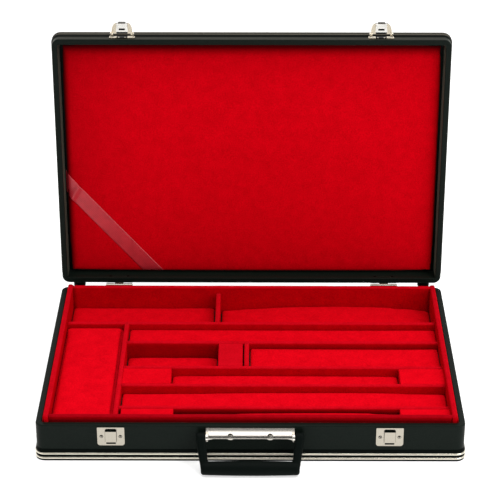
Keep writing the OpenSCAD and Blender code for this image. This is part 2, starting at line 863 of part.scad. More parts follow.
// Leaf that hangs below the axis, with knuckles over the x ranges given and a lug that
// reaches out to lug_y, its upper face at lug_z
module hinge_leaf(segments, lug_y, lug_z) {
    lug_w = middle_w - 2;
    plate_top = knuckle_r + 0.4;
    difference() {
        union() {
            translate([-hinge_w/2, -hinge_out, -leaf_h]) cube([hinge_w, leaf_t, leaf_h - plate_top]);
            for (seg = segments)
                translate([seg[0], 0, 0]) {
                    rotate([0, 90, 0]) cylinder(r = knuckle_r, h = seg[1] - seg[0]);
                    translate([0, -hinge_out, -knuckle_r])
                        cube([seg[1] - seg[0], hinge_out, leaf_t]);
                    translate([0, -hinge_out, -plate_top - 1])
                        cube([seg[1] - seg[0], leaf_t, plate_top + 1 - leaf_top]);
                }
            translate([-lug_w/2, -hinge_out, lug_z - lug_h]) cube([lug_w, hinge_out + lug_y, lug_h]);
        }
        translate([-hinge_w, 0, 0])
            rotate([0, 90, 0]) cylinder(r = hinge_pin_r + run_fit, h = 2*hinge_w);
        for (x = [-1, 1])
            translate([x*rivet_x, -hinge_out + leaf_t, -rivet_down])
                rotate(180) pilot(screw_r, leaf_t);
    }
}
lug_h = 3;
lug_from = knuckle_r + 1.5;
lug_stop = lug_out*sin(lid_open) - (lug_from + lug_h)*cos(lid_open) + stop_gap;
leaf_top = 0.8;
rivet_x = 12;
rivet_down = 7.2;

module hinge_leaves_base() {
    color(nickel)
        at_hinges()
            hinge_leaf([[-hinge_w/2, -middle_w/2 - segment_gap], [middle_w/2 + segment_gap, hinge_w/2]],
                lug_out + 2.2, -lug_stop);
}

module hinge_leaves_lid() {
    color(nickel)
        at_hinges()
            rotate([-lid_open, 0, 0])
                mirror([0, 0, 1]) hinge_leaf([[-middle_w/2, middle_w/2]], lug_out, -lug_from);
}

module hinge_pins() {
    color(nickel)
        at_hinges()
            rotate([0, 90, 0]) cylinder(r = hinge_pin_r, h = hinge_w + 1, center = true);
}

module at_base_rivets() {
    for (s = [-1, 1], x = [-1, 1])
        translate([s*hinge_x + x*rivet_x, case_d/2, axis_z - rivet_down]) children();
}

// On a shut lid, with the rim at z = 0
module at_lid_rivets() {
    for (s = [-1, 1], x = [-1, 1])
        translate([s*hinge_x + x*rivet_x, case_d/2, rivet_down - rim_gap/2]) children();
}

module hinge_rivets_base() {
    color(nickel)
        at_base_rivets()
            rotate(180) translate([0, -leaf_t, 0]) fastener(screw_r, leaf_t + screw_l, head_r, head_h);
}

// The lid's rivets go right through its wall and are set over inside
module hinge_rivets_lid() {
    color(nickel)
        on_lid()
            at_lid_rivets()
                rotate(180) {
                    translate([0, -leaf_t, 0]) fastener(screw_r, leaf_t + wall, head_r, head_h);
                    translate([0, wall, 0]) rotate([-90, 0, 0]) dome(head_r, 0.6);
                }
}

// Rear feet, which the case stands on when it is carried and set down on its hinge side
module rear_foot() {
    base_r = 3;
    top_r = 2;
    taper = 0.7;
    rotate([-90, 0, 0]) {
        linear_extrude(foot_out - top_r) plan(foot_w, foot_d, base_r);
        translate([0, 0, foot_out - top_r])
            linear_extrude(top_r, scale = taper) plan(foot_w, foot_d, base_r);
    }
}

base_foot_down = 14;
lid_foot_up = 7.4;

module rear_feet_base() {
    color(black)
        for (s = [-1, 1])
            translate([s*foot_x, case_d/2, base_h - base_foot_down]) rear_foot();
}

module rear_feet_lid() {
    color(black)
        on_lid()
            for (s = [-1, 1])
                translate([s*foot_x, case_d/2, lid_foot_up]) rear_foot();
}

module lid_band() {
    color(black)
        on_lid()
            difference() {
                turned(lid_h) ring(case_w, case_d, corner_r) band_profile(lid_h);
                lid_pilots();
            }
}

module lid_panel() {
    color(black) on_lid() turned(lid_h) box_panel();
}

module lid_trim() {
    color(black) on_lid() turned(lid_h) ring(case_w, case_d, corner_r) trim_profile();
}

module lid_beads() {
    color(nickel) on_lid() turned(lid_h) box_beads();
}

// The lining hangs under the lid's panel, its crown towards the tray
lining_l = inner_w - 2*soft_fit;
lining_w = inner_d - 2*soft_fit;

module lid_lining() {
    color(velvet)
        on_lid()
            turned(lid_h)
                translate([0, 0, panel_t + fit])
                    pad(lining_l, lining_w, lining_t, lining_crown, roll = lining_roll,
                        cells_l = 12, cells_w = 9);
}

// Ribbon: a strip laid over the lining's corner, whose ends follow the rolled edges down.
// It runs from the left side to the hinge side; t goes along it and s across it.
ribbon_lift = 0.7;
function ribbon_from() = [-lining_l/2, lining_w/2 - ribbon_up];
function ribbon_to() = [-lining_l/2 + ribbon_along, lining_w/2];
function ribbon_dir() = (ribbon_to() - ribbon_from())/norm(ribbon_to() - ribbon_from());
function ribbon_at(t, s) = ribbon_from() + t*(ribbon_to() - ribbon_from())
    + s*ribbon_w/2*[-ribbon_dir()[1], ribbon_dir()[0]];
function clamp(v, limit) = max(-limit, min(limit, v));
function on_lining(p, lift) = let(x = clamp(p[0], lining_l/2 - 1.5), y = clamp(p[1], lining_w/2 - 1.5))
    [x, y, lift + pad_height(x + lining_l/2, y + lining_w/2, lining_l, lining_w, lining_t,
        lining_crown, lining_roll, 0)];

module ribbon() {
    steps = [for (k = [0:11]) 0.012 + 0.011*k, for (k = [1:7]) 0.133 + 0.734*k/7,
        for (k = [1:11]) 0.867 + 0.011*k];
    across = [-1:0.4:1];
    m = len([for (q = across) q]);
    n = len(steps);
    ring = 2*m;
    rows = [for (t = steps) [for (side = [0, 1], q = across)
        on_lining(ribbon_at(t, side == 0 ? q : -q), ribbon_lift + side*ribbon_t)]];
    color("#a83a44")
        on_lid()
            turned(lid_h)
                translate([0, 0, panel_t + fit])
                    polyhedron(
                        points = [for (r = rows) each r],
                        faces = concat(
                            [for (k = [0:n - 2], c = [0:ring - 1])
                                [ring*k + c, ring*(k + 1) + c, ring*(k + 1) + (c + 1) % ring]],
                            [for (k = [0:n - 2], c = [0:ring - 1])
                                [ring*k + c, ring*(k + 1) + (c + 1) % ring, ring*k + (c + 1) % ring]],
                            [for (end = [0, ring*(n - 1)], c = [0:m - 2], half = [0, 1])
                                let(a = end + c, b = end + c + 1, d = end + ring - 1 - c,
                                    e = end + ring - 2 - c,
                                    tri = half == 0 ? [a, b, e] : [a, e, d])
                                end == 0 ? tri : [tri[2], tri[1], tri[0]]]));
}

// Hasp plate on the lid's front wall: a plate with two gusseted ears that hold the pin.
// It is drawn with the lid shut, x from the latch's middle and the rim at z = 0.
hasp_screw_x = 4.3;
hasp_plate_top = hasp_pin_up + 2.6;
hasp_plate_foot = hasp_plate_top - hasp_plate_h;
hasp_screw_z = hasp_plate_foot + 1.8;
hasp_boss = 1.8;

module hasp_plate() {
    plate_w = 2*(ear_x + ear_t) + 3;
    color(nickel)
        difference() {
            union() {
                translate([-plate_w/2, -plate_t, hasp_plate_foot]) cube([plate_w, plate_t, hasp_plate_h]);
                for (s = [-1, 1])
                    translate([s*(ear_x + ear_t/2), 0, 0])
                        rotate([90, 0, 90]) linear_extrude(ear_t, center = true) ear_outline();
            }
            translate([0, -hasp_pin_out, hasp_pin_up])
                rotate([0, 90, 0])
                    cylinder(r = hasp_pin_r + run_fit, h = 2*plate_w, center = true);
            for (x = [-1, 1])
                translate([x*hasp_screw_x, -plate_t, hasp_screw_z]) pilot(screw_r, plate_t);
        }
}

// Side view of an ear: round about the pin, with a gusset back to the plate
module ear_outline() {
    ear_r = hasp_pin_r + 1.1;
    translate([-hasp_pin_out, hasp_pin_up]) circle(ear_r);
    polygon([[0, hasp_plate_foot], [-hasp_pin_out, hasp_pin_up - ear_r],
        [-hasp_pin_out, hasp_pin_up + ear_r], [0, hasp_plate_top]]);
}

// Hasp: a pressed channel, drawn shut about its pin. Inside it lies the slotted spring plate, and
// its end turns inwards (+Y) as the hook that enters the catch's window just above the strap.
hasp_shoulder = hook_from - 0.3;
shoulder_w = hook_w + 6.3;

module hasp() {
    out = hasp_knuckle_r;
    face_in = out - hasp_t;
    skirt_in = hasp_pin_out - plate_t - 1.5;
    hook_in = hasp_pin_out - hook_gap;
    tongue_from = 2.4;
    tongue_to = hasp_shoulder - 0.2;
    slot_h = 2.4;
    color(nickel)
        difference() {
            union() {
                rotate([90, 0, 0]) {
                    translate([0, 0, face_in])
                        linear_extrude(hasp_t) {
                            hasp_outline(0);
                            translate([-hook_w/2, -hasp_tip])
                                square([hook_w, hasp_tip - hasp_shoulder + 1]);
                        }
                    translate([0, 0, -skirt_in])
                        linear_extrude(skirt_in + face_in + 0.2)
                            difference() {
                                hasp_outline(0);
                                hasp_outline(hasp_t);
                                translate([-shoulder_w/2 + hasp_t, -2*hasp_tip])
                                    square([shoulder_w - 2*hasp_t, 3*hasp_tip]);
                            }
                    translate([0, 0, face_in - tongue_gap - tongue_t])
                        linear_extrude(tongue_gap + tongue_t + 0.1)
                            difference() {
                                polygon([[-shoulder_w/2, -tongue_from], [shoulder_w/2, -tongue_from],
                                    [shoulder_w/2 - hasp_t, -tongue_to], [-shoulder_w/2 + hasp_t, -tongue_to]]);
                                translate([-4, -tongue_from - slot_from - slot_h]) square([8, slot_h]);
                            }
                }
                for (s = [-1, 1])
                    translate([s*(hasp_w - hasp_boss)/2, 0, 0])
                        rotate([0, 90, 0]) cylinder(r = out, h = hasp_boss, center = true);
                translate([-hook_w/2, -out, -hasp_tip]) cube([hook_w, out + hook_in, hook_h]);
            }
            rotate([0, 90, 0]) cylinder(r = hasp_pin_r + run_fit, h = 2*hasp_w, center = true);
        }
}
slot_from = 2.3;

// Front view of the hasp's face inside a border: full width, then curved in to its shoulder
module hasp_outline(inset) {
    curve_from = 3.5;
    edge = concat([[hasp_w/2 - inset, 0]],
        [for (a = [0:15:90]) [shoulder_w/2 - inset + (hasp_w - shoulder_w)/2*cos(a),
            -curve_from - (hasp_shoulder - inset - curve_from)*sin(a)]]);
    n = len(edge);
    polygon(concat(edge, [for (k = [n - 1:-1:0]) [-edge[k][0], edge[k][1]]]));
}

module at_latch(s) {
    translate([s*latch_x, -case_d/2, 0]) children();
}

module hasp_plate_left() { on_lid() at_latch(-1) hasp_plate(); }
module hasp_plate_right() { on_lid() at_latch(1) hasp_plate(); }

module at_hasp_screws() {
    for (s = [-1, 1], x = [-1, 1])
        at_latch(s) translate([x*hasp_screw_x, 0, hasp_screw_z]) children();
}

module hasp_screws() {
    color(nickel)
        on_lid()
            at_hasp_screws()
                translate([0, -plate_t, 0]) fastener(screw_r, plate_t + screw_l, 1.6, 0.8);
}

// Short pivot pins, one in each ear
module hasp_pins() {
    pin_from = hasp_w/2 - hasp_boss - 0.4;
    color(nickel)
        on_lid()
            for (s = [-1, 1], side = [0, 180])
                at_latch(s)
                    translate([0, -hasp_pin_out, hasp_pin_up])
                        rotate([0, 90, side]) translate([0, 0, pin_from])
                            cylinder(r = hasp_pin_r, h = ear_x + ear_t + 0.4 - pin_from);
}

module placed_hasp(s) {
    on_lid()
        at_latch(s)
            translate([0, -hasp_pin_out, hasp_pin_up])
                rotate([-hasp_open, 0, 0]) hasp();
}

module hasp_left() { placed_hasp(-1); }
module hasp_right() { placed_hasp(1); }

base_band();
base_panel();
base_trim();
base_beads();
liner_front();
liner_back();
liner_left();
liner_right();
side_divider();
row_divider_1();
row_divider_2();
row_divider_3();
row_divider_4();
row_divider_5();
back_divider();
trough_divider();
box_block();
row3_blocks();
row1_blocks();
packing_blocks();
accessory_ledges();
pad_back_left();
pad_back_right();
pad_row5();
pad_box();
pad_trough();
pad_row3();
pad_row2();
pad_row1();
pad_accessory();
accessory_lid_board();
accessory_lid_pad();
catch_plate_left();
catch_plate_right();
catch_screws();
handle_bracket();
handle_screws();
handle_pins();
handle();
hinge_leaves_base();
hinge_pins();
hinge_rivets_base();
rear_feet_base();
lid_band();
lid_panel();
lid_trim();
lid_beads();
lid_lining();
ribbon();
hinge_leaves_lid();
hinge_rivets_lid();
rear_feet_lid();
hasp_plate_left();
hasp_plate_right();
hasp_screws();
hasp_pins();
hasp_left();
hasp_right();
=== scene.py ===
import bmesh
import bpy
import json
import math
from mathutils import Matrix, Vector, noise
from mathutils.bvhtree import BVHTree


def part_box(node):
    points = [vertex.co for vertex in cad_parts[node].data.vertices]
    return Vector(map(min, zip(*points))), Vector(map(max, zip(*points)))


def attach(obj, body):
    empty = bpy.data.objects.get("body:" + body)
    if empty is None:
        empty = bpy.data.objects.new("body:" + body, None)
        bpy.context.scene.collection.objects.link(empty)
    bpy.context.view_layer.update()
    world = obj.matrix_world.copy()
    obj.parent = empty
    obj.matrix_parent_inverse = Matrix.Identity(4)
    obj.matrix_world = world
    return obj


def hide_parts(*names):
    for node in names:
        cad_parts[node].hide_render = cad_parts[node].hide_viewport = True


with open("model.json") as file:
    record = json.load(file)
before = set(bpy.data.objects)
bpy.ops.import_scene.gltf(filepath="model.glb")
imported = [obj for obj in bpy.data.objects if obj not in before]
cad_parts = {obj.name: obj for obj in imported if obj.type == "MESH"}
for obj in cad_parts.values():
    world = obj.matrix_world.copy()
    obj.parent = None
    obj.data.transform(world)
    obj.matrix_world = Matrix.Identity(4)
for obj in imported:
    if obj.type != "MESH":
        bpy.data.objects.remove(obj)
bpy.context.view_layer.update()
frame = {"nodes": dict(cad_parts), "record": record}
nodes = frame["nodes"]
scene = bpy.context.scene
behaviour = frame["record"]["behaviour"]
bodyOf = {name: body for body, names in behaviour["bodies"].items() for name in names}
joints = {joint["name"]: joint for joint in behaviour["joints"]}
mm = 0.001
print("stage: frame loaded,", len(nodes), "nodes")

# Camera at the photograph's angle, and a plain studio
camera = {
    "place": (0.008, -2.0147, 1.2429),
    "tilt": 62.58,  # degrees up from straight down
    "turn": 0.26,   # degrees to the left
    "lens": 130.45,
    "sensor": 36,
    "reach": 30,    # metres
}
studio = {
    "lamps": {
        "key": {"place": (1.15, -0.75, 2.1), "aim": (0, 0.05, 0.1), "size": (1.5, 1.2), "watts": 26},
        "top": {"place": (-0.3, 0.1, 2.3), "aim": (0, 0, 0), "size": (2.4, 1.8), "watts": 27},
        "right": {"place": (1.9, -1.9, 1.0), "aim": (0, 0.15, 0.2), "size": (1.2, 1.2), "watts": 21},
        "left": {"place": (-2.0, -1.8, 1.0), "aim": (0, 0.15, 0.2), "size": (1.0, 1.2), "watts": 2},
    },
    "sky": {"front": 0.26, "side": 0.45, "back": 1.1},  # a white sweep behind, a dark room in front
    "floorGlow": 0.5,
    "floorSize": 14,    # metres
    "floorDrop": 0.02,  # mm under the case
}


def softbox(name, settings):
    lamp = bpy.data.objects.new(name, bpy.data.lights.new(name, "AREA"))
    scene.collection.objects.link(lamp)
    lamp.data.shape = "RECTANGLE"
    lamp.data.size, lamp.data.size_y = settings["size"]
    lamp.data.energy = settings["watts"]
    lamp.location = settings["place"]
    aim = Vector(settings["aim"]) - lamp.location
    lamp.rotation_euler = aim.to_track_quat("-Z", "Y").to_euler()


eye = bpy.data.objects.new("camera", bpy.data.cameras.new("camera"))
scene.collection.objects.link(eye)
eye.location = camera["place"]
eye.rotation_euler = (math.radians(camera["tilt"]), 0, math.radians(camera["turn"]))
eye.data.sensor_width = camera["sensor"]
eye.data.lens = camera["lens"]
eye.data.clip_end = camera["reach"]
scene.camera = eye
scene.view_settings.view_transform = "Standard"
for lampName, lampSettings in studio["lamps"].items():
    softbox(lampName + "_softbox", lampSettings)


def linear(hexCode):
    # sRGB hex to Blender's linear colour
    parts = [int(hexCode[i:i + 2], 16) / 255 for i in (0, 2, 4)]
    return tuple(c / 12.92 if c <= 0.04045 else ((c + 0.055) / 1.055) ** 2.4 for c in parts) + (1,)


def addNode(material, kind, settings=None, links=None):
    # One node: settings go to its sockets, by name or place, or to its own properties, and links join sockets
    node = material.node_tree.nodes.new("ShaderNode" + kind)
    for key, value in (settings or {}).items():
        if key == "ramp":
            stops = node.color_ramp.elements
            for i, (place, colour) in enumerate(value):
                stop = stops[i] if i < len(stops) else stops.new(place)
                stop.position, stop.color = place, colour
        elif isinstance(key, int) or key in node.inputs:
            node.inputs[key].default_value = value
        else:
            setattr(node, key, value)
    for key, socket in (links or {}).items():
        material.node_tree.links.new(socket, node.inputs[key])
    return node


def newMaterial(name, shader):
    # A material with its Principled shader set, and that shader's node to link to
    material = bpy.data.materials.new(name)
    material.use_nodes = True
    surface = material.node_tree.nodes["Principled BSDF"]
    for key, value in shader.items():
        surface.inputs[key].default_value = value
    material.diffuse_color = shader["Base Color"]
    return material, surface


def join(material, socket, surface, name):
    material.node_tree.links.new(socket, surface.inputs[name])


def grey(level):
    return (level, level, level, 1)


# Nylon velvet, flocked: a deep saturated red whose pile lies in faint patches and lights up at its rims
velvetLook = {
    "patch": 14.0,     # mm, patches where the pile leans
    "tuft": 1.7,       # mm, tufts; the real pile is finer than a pixel
    "flat": "300003",  # painted shade: the dark red that the velvet is mixed toward by the painted-shade attribute
    "floor": {"lit": "dc0618", "deep": "b8020f", "sheen": 0.35, "rim": "ff1420"},
    "board": {"lit": "c8081a", "deep": "a8040f", "sheen": 0.45, "rim": "ff2030"},
    # painted shade: a darker copy for the boards' side faces; their tops get the board or floor velvet
    "upright": {"lit": "bc020d", "deep": "a20009", "sheen": 0.14, "rim": "ff1420"},
    "lid": {"lit": "ca0212", "deep": "ae020c", "sheen": 0.2, "rim": "ff1420"},
}


def velvet(name, look):
    material, surface = newMaterial(name, {
        "Base Color": linear(look["lit"]), "Roughness": 0.9, "Specular IOR Level": 0.0,
        "Sheen Weight": look["sheen"], "Sheen Roughness": 0.45, "Sheen Tint": linear(look["rim"])})
    place = addNode(material, "TexCoord").outputs["Object"]
    patches = addNode(material, "TexNoise", {
        "Scale": 1 / (velvetLook["patch"] * mm), "Detail": 3.0, "Roughness": 0.6}, {"Vector": place})
    tufts = addNode(material, "TexNoise", {
        "Scale": 1 / (velvetLook["tuft"] * mm), "Detail": 2.0, "Roughness": 0.7}, {"Vector": place})
    mixed = addNode(material, "Math", {"operation": "MULTIPLY_ADD", 1: 0.55},
                    {0: patches.outputs["Fac"], 2: tufts.outputs["Fac"]})
    shade = addNode(material, "ValToRGB", {
        "ramp": [(0.5, linear(look["deep"])), (0.98, linear(look["lit"]))]}, {"Fac": mixed.outputs[0]})
    # Painted shade: a per-point attribute mixes the velvet's colour toward the dark red of "flat"
    paintedShade = addNode(material, "Attribute", {"attribute_type": "GEOMETRY", "attribute_name": "paintedShade"})
    dark = addNode(material, "Mix", {"data_type": "RGBA", 7: linear(velvetLook["flat"])},
                   {0: paintedShade.outputs["Fac"], 6: shade.outputs["Color"]})
    join(material, dark.outputs[2], surface, "Base Color")
    bump = addNode(material, "Bump", {"Strength": 0.5, "Distance": 0.5 * mm},
                   {"Height": tufts.outputs["Fac"]})
    join(material, bump.outputs["Normal"], surface, "Normal")
    return material


velvetFloor = velvet("flocked velvet, pile up", velvetLook["floor"])
velvetBoard = velvet("flocked velvet, on boards", velvetLook["board"])
velvetSidesShaded = velvet("flocked velvet, painted shade on side faces", velvetLook["upright"])
velvetLid = velvet("flocked velvet, lid panel", velvetLook["lid"])

# Vinyl leathercloth, embossed: near black with a fine pebble grain that breaks up the highlights
vinylLook = {
    "grain": 1.3,   # mm, one pebble
    "wander": 3.2,  # mm, waves that bend the rows of pebbles
    "bend": 1.2,    # mm, how far they bend them
    "plain": {"colour": "0a120e", "worn": "121914"},
    # painted sheen: a lighter copy for the lid's front wall, which looks up when the case is open
    "painted_sheen": {"colour": "1a1b16", "worn": "25241d"},
}


def vinyl(name, look):
    material, surface = newMaterial(name, {
        "Base Color": linear(look["colour"]), "Roughness": 0.47, "Specular IOR Level": 0.07,
        "Sheen Weight": 0.3, "Sheen Roughness": 0.25, "Sheen Tint": linear("ccd0b8")})
    place = addNode(material, "TexCoord").outputs["Object"]
    warp = addNode(material, "TexNoise", {"Scale": 1 / (vinylLook["wander"] * mm), "Detail": 2.0},
                   {"Vector": place})
    bent = addNode(material, "VectorMath", {"operation": "MULTIPLY_ADD", 1: (vinylLook["bend"] * mm,) * 3},
                   {0: warp.outputs["Color"], 2: place})
    pebbles = addNode(material, "TexVoronoi", {
        "feature": "SMOOTH_F1", "Scale": 1 / (vinylLook["grain"] * mm), "Smoothness": 0.35},
                      {"Vector": bent.outputs["Vector"]})
    shade = addNode(material, "ValToRGB", {
        "ramp": [(0.15, linear(look["worn"])), (0.6, linear(look["colour"]))]},
                    {"Fac": pebbles.outputs["Distance"]})
    join(material, shade.outputs["Color"], surface, "Base Color")
    bump = addNode(material, "Bump", {"Strength": 0.35, "Distance": 0.16 * mm, "invert": True},
                   {"Height": pebbles.outputs["Distance"]})
    join(material, bump.outputs["Normal"], surface, "Normal")
    smear = addNode(material, "MapRange", {"From Min": 0.0, "From Max": 1.0, "To Min": 0.4, "To Max": 0.56},
                    {"Value": warp.outputs["Fac"]})
    join(material, smear.outputs["Result"], surface, "Roughness")
    return material


blackVinyl = vinyl("embossed vinyl leathercloth", vinylLook["plain"])
paintedSheenVinyl = vinyl("embossed vinyl leathercloth, dusty where it lies uppermost", vinylLook["painted_sheen"])


# Plated, anodised or bright metal: slightly warm, with fine marks of polishing or drawing in its shine
def metal(name, colour, rough, roughTo, streak, stretch=(1, 1, 12), relief=0.12):
    material, surface = newMaterial(name, {"Base Color": linear(colour), "Metallic": 1.0, "Roughness": rough})
    place = addNode(material, "TexCoord").outputs["Object"]
    along = addNode(material, "Mapping", {"Scale": stretch}, {"Vector": place})
    marks = addNode(material, "TexNoise", {"Scale": 1 / (streak * mm), "Detail": 4.0, "Roughness": 0.65},
                    {"Vector": along.outputs["Vector"]})
    dull = addNode(material, "MapRange", {
        "From Min": 0.3, "From Max": 0.7, "To Min": rough, "To Max": roughTo},
                   {"Value": marks.outputs["Fac"]})
    join(material, dull.outputs["Result"], surface, "Roughness")
    bump = addNode(material, "Bump", {"Strength": relief, "Distance": 0.03 * mm},
                   {"Height": marks.outputs["Fac"]})
    join(material, bump.outputs["Normal"], surface, "Normal")
    return material


beadDrawn = (0.08, 0.08, 6)  # the marks run along a drawn bead
beadRelief = 0.03
nickel = metal("nickel plate, polished", "bdb7ab", 0.12, 0.2, 1.6)
nickelPressed = metal("nickel plate, satin", "e0d5c0", 0.2, 0.3, 1.2)
# Painted highlight: a near-white copy for the hasps' tongues
nickelPaintedHighlight = metal("nickel plate, painted_highlight", "fcfaf4", 0.16, 0.24, 1.2)
nickelBracket = metal("nickel plate, worn", "e8e2d8", 0.17, 0.27, 1.6)
nickelCatch = metal("nickel plate, matt", "a8a295", 0.16, 0.26, 1.4)
beadMetal = metal("anodised aluminium bead", "e6e0cf", 0.22, 0.32, 1.0, beadDrawn, beadRelief)
# Painted shade: a dark copy of the bead metal for faces that look down, the lid's beads and the hasps' hooks
beadShaded = metal("anodised aluminium bead, painted_shade", "4a463e", 0.34, 0.44, 1.0, beadDrawn, beadRelief)
steelPin = metal("bright steel pin", "cfccc4", 0.25, 0.35, 1.0)


# Moulded or extruded plastic, or a black that stands in as painted shade in hollows, slots and recesses: a
# faint orange-peel skin that softens its highlights
def plastic(name, colour, rough, peel, gloss=0.07):
    material, surface = newMaterial(name, {
        "Base Color": linear(colour), "Roughness": rough, "Specular IOR Level": gloss})
    place = addNode(material, "TexCoord").outputs["Object"]
    skin = addNode(material, "TexNoise", {"Scale": 1 / (peel * mm), "Detail": 3.0}, {"Vector": place})
    dull = addNode(material, "MapRange", {
        "From Min": 0.3, "From Max": 0.7, "To Min": rough - 0.05, "To Max": rough + 0.08},
                   {"Value": skin.outputs["Fac"]})
    join(material, dull.outputs["Result"], surface, "Roughness")
    bump = addNode(material, "Bump", {"Strength": 0.2, "Distance": 0.05 * mm},
                   {"Height": skin.outputs["Fac"]})
    join(material, bump.outputs["Normal"], surface, "Normal")
    return material


trimPlastic = plastic("extruded vinyl trim", "060a08", 0.4, 2.0, 0.03)
handlePlastic = plastic("moulded handle plastic", "080d0b", 0.5, 1.4, 0.03)
# Painted shade: black put in slots, hollows, recesses and on the lid's rivets
shadeBlack = plastic("black for painted shade", "060605", 0.4, 1.2, 0.06)
footPlastic = plastic("moulded foot plastic", "0c0e0c", 0.45, 1.0)

# Woven satin ribbon: fine ribs across its width, a soft shine and less saturated than the velvet
satinLook = {
    "rib": 1.9635,    # mm; the real ribs are finer than a pixel
    "cloud": 16.667,  # mm, patches in its shine
}
waveBand = 2 * math.pi / 20  # metres, one band of the wave pattern at a scale of 1


def satin():
    material, surface = newMaterial("woven satin ribbon", {
        "Base Color": linear("a8242f"), "Roughness": 0.42, "Specular IOR Level": 0.5,
        "Sheen Weight": 0.4, "Sheen Roughness": 0.3, "Sheen Tint": linear("ff9090")})
    place = addNode(material, "TexCoord").outputs["UV"]
    ribs = addNode(material, "TexWave", {
        "wave_type": "BANDS", "bands_direction": "Y", "Scale": waveBand / (satinLook["rib"] * mm),
        "Distortion": 0.6, "Detail": 1.0}, {"Vector": place})
    cloud = addNode(material, "TexNoise", {"Scale": 1 / (satinLook["cloud"] * mm), "Detail": 3.0},
                    {"Vector": place})
    mixed = addNode(material, "Math", {"operation": "MULTIPLY_ADD", 1: 0.35},
                    {0: ribs.outputs["Fac"], 2: cloud.outputs["Fac"]})
    shade = addNode(material, "ValToRGB", {"ramp": [(0.35, linear("961a24")), (0.85, linear("ba2430"))]},
                    {"Fac": mixed.outputs[0]})
    join(material, shade.outputs["Color"], surface, "Base Color")
    bump = addNode(material, "Bump", {"Strength": 0.3, "Distance": 0.08 * mm},
                   {"Height": ribs.outputs["Fac"]})
    join(material, bump.outputs["Normal"], surface, "Normal")
    return material


# Softwood packing under the pads, coloured dark brown as painted shade, so that the gaps beside them stay
# dark
woodLook = {
    "grain": 22.0,  # mm
    "stretch": (1, 14, 14),
}


def wood():
    material, surface = newMaterial("softwood darkened for painted shade", {"Base Color": linear("2e1d16"), "Roughness": 0.75})
    place = addNode(material, "TexCoord").outputs["Object"]
    along = addNode(material, "Mapping", {"Scale": woodLook["stretch"]}, {"Vector": place})
    grain = addNode(material, "TexNoise", {
        "Scale": 1 / (woodLook["grain"] * mm), "Detail": 4.0, "Distortion": 0.8},
                    {"Vector": along.outputs["Vector"]})
    shade = addNode(material, "ValToRGB", {"ramp": [(0.35, linear("23150f")), (0.65, linear("3a251b"))]},
                    {"Fac": grain.outputs["Fac"]})
    join(material, shade.outputs["Color"], surface, "Base Color")
    bump = addNode(material, "Bump", {"Strength": 0.25, "Distance": 0.1 * mm},
                   {"Height": grain.outputs["Fac"]})
    join(material, bump.outputs["Normal"], surface, "Normal")
    return material


ribbonSatin = satin()
packingWood = wood()
print("stage: materials made")

# How the solids are taken over
dressing = {
    "weld": 0.004,   # mm, corners nearer than this are one
    "near": 0.0001,  # mm, corners nearer to a cut lie on it
    "flat": 1,       # degrees, faces that bend less are one
    "hard": 32,      # degrees, edges that bend more are broken
    "sharp": 30,     # degrees, edges that bend more look sharp
}


def share(value):
    # A value held between 0 and 1
    return min(1, max(0, value))


def meshObject(name, bm):
    # An object of the scene, from a bmesh that ends here
    mesh = bpy.data.meshes.new(name)
    bm.to_mesh(mesh)
    bm.free()
    made = bpy.data.objects.new(name, mesh)
    scene.collection.objects.link(made)
    return made


def copyOf(nodeName):
    # A merged copy of a CAD node, whose own mesh is loose triangles
    bm = bmesh.new()
    bm.from_mesh(nodes[nodeName].data)
    bmesh.ops.remove_doubles(bm, verts=bm.verts, dist=dressing["weld"] * mm)
    return bm


def mergeFlat(bm):
    # Makes each flat side one face
    bmesh.ops.dissolve_limit(bm, angle_limit=math.radians(dressing["flat"]), verts=bm.verts, edges=bm.edges)


def cutAt(bm, spot, normal):
    everything = bm.verts[:] + bm.edges[:] + bm.faces[:]
    bmesh.ops.bisect_plane(bm, geom=everything, dist=dressing["near"] * mm, plane_co=spot, plane_no=normal)


def cutAcross(bm, axis, step):
    # Cuts the mesh across an axis, no more than about a step apart, so that it can bend
    low = min(v.co[axis] for v in bm.verts)
    high = max(v.co[axis] for v in bm.verts)
    count = int((high - low) / step)
    normal = Vector([1 if i == axis else 0 for i in range(3)])
    for k in range(1, count + 1):
        cutAt(bm, normal * (low + (high - low) * k / (count + 1)), normal)


def edgesOver(bm, degrees):
    return [e for e in bm.edges if len(e.link_faces) == 2 and e.calc_face_angle(0) > math.radians(degrees)]


def makePiece(name, bm, nodeName, looks, sharp=dressing["sharp"], even=False):
    # Turns a bmesh into the finished piece that stands in for a node
    for face in bm.faces:
        face.smooth = True
    piece = meshObject(name, bm)
    if sharp:
        piece.data.set_sharp_from_angle(angle=math.radians(sharp))
    for look in looks:
        piece.data.materials.append(look)
    if even:
        flat = piece.modifiers.new("flat faces", "WEIGHTED_NORMAL")
        flat.keep_sharp = True
    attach(piece, bodyOf[nodeName])
    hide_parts(nodeName)
    return piece


def dress(nodeName, looks, edge=0, segments=2, cuts=(), paint=None):
    # A copy of a rigid part with its hard edges broken, as pressed, moulded or machined edges are
    bm = copyOf(nodeName)
    if edge:
        mergeFlat(bm)
        bmesh.ops.bevel(bm, geom=edgesOver(bm, dressing["hard"]), offset=edge * mm, offset_type="OFFSET",
                        segments=segments, profile=0.5, affect="EDGES", material=-1, clamp_overlap=True)
    for spot in cuts:
        cutAt(bm, (spot, 0, 0), (1, 0, 0))
    bm.normal_update()
    if paint:
        for face in bm.faces:
            face.material_index = paint(face)
    return makePiece(nodeName + "_dressed", bm, nodeName, looks, even=True)


